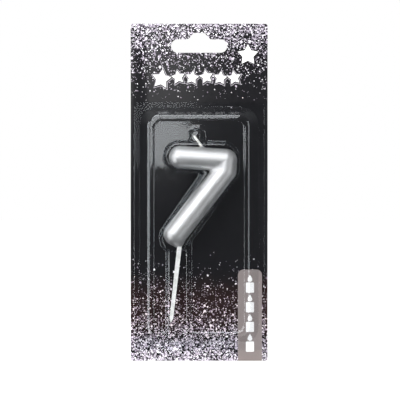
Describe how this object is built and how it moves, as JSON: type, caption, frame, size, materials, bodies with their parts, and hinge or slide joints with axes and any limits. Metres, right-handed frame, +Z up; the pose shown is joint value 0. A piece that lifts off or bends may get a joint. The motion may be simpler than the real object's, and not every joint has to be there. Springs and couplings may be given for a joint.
{
  "type": "number birthday candle",
  "caption": "Silver wax candle shaped like a seven, with wick and cake pick, in a clear blister pack on a card with a hang slot.",
  "frame": {"origin": "highest point of the hang slot, in the plane of the back of the card", "axes": "+Z up along the card's long side, +Y out of the back of the card, +X to the right seen from the front"},
  "size_m": [0.078, 0.0148, 0.192],
  "materials": {
    "printed_card": "gloss printed solid board, plain board behind",
    "clear_sheet": "clear thermoformed sheet",
    "silver_wax": "paraffin wax under a satin metallic silver lacquer",
    "cotton_cord": "braided cotton, lightly waxed",
    "white_plastic": "semi-gloss moulded plastic"
  },
  "bodies": {
    "card": {"backing_card": "printed_card"},
    "blister": {"blister": "clear_sheet"},
    "candle": {"numeral": "silver_wax", "wick": "cotton_cord"},
    "pick": {"pick": "white_plastic"}
  },
  "joints": [
    {"name": "blister_peel", "type": "hinge", "parent": "card", "child": "blister", "pos_m": [-0.0372, -0.00085, -0.11], "axis": [0, 0, -1], "range_deg": [0, 120]},
    {"name": "candle_lift", "type": "slide", "parent": "card", "child": "candle", "axis": [0, -1, 0], "range_m": [0, 0.0255]},
    {"name": "pick_pull", "type": "slide", "parent": "candle", "child": "pick", "axis": [-0.1115, 0, -0.9938], "range_m": [0, 0.0075], "stiffness_N_per_m": 20}
  ],
  "couplings": [
    {"joint": "candle_lift", "follows": "blister_peel", "m_per_rad": 0.012}
  ]
}
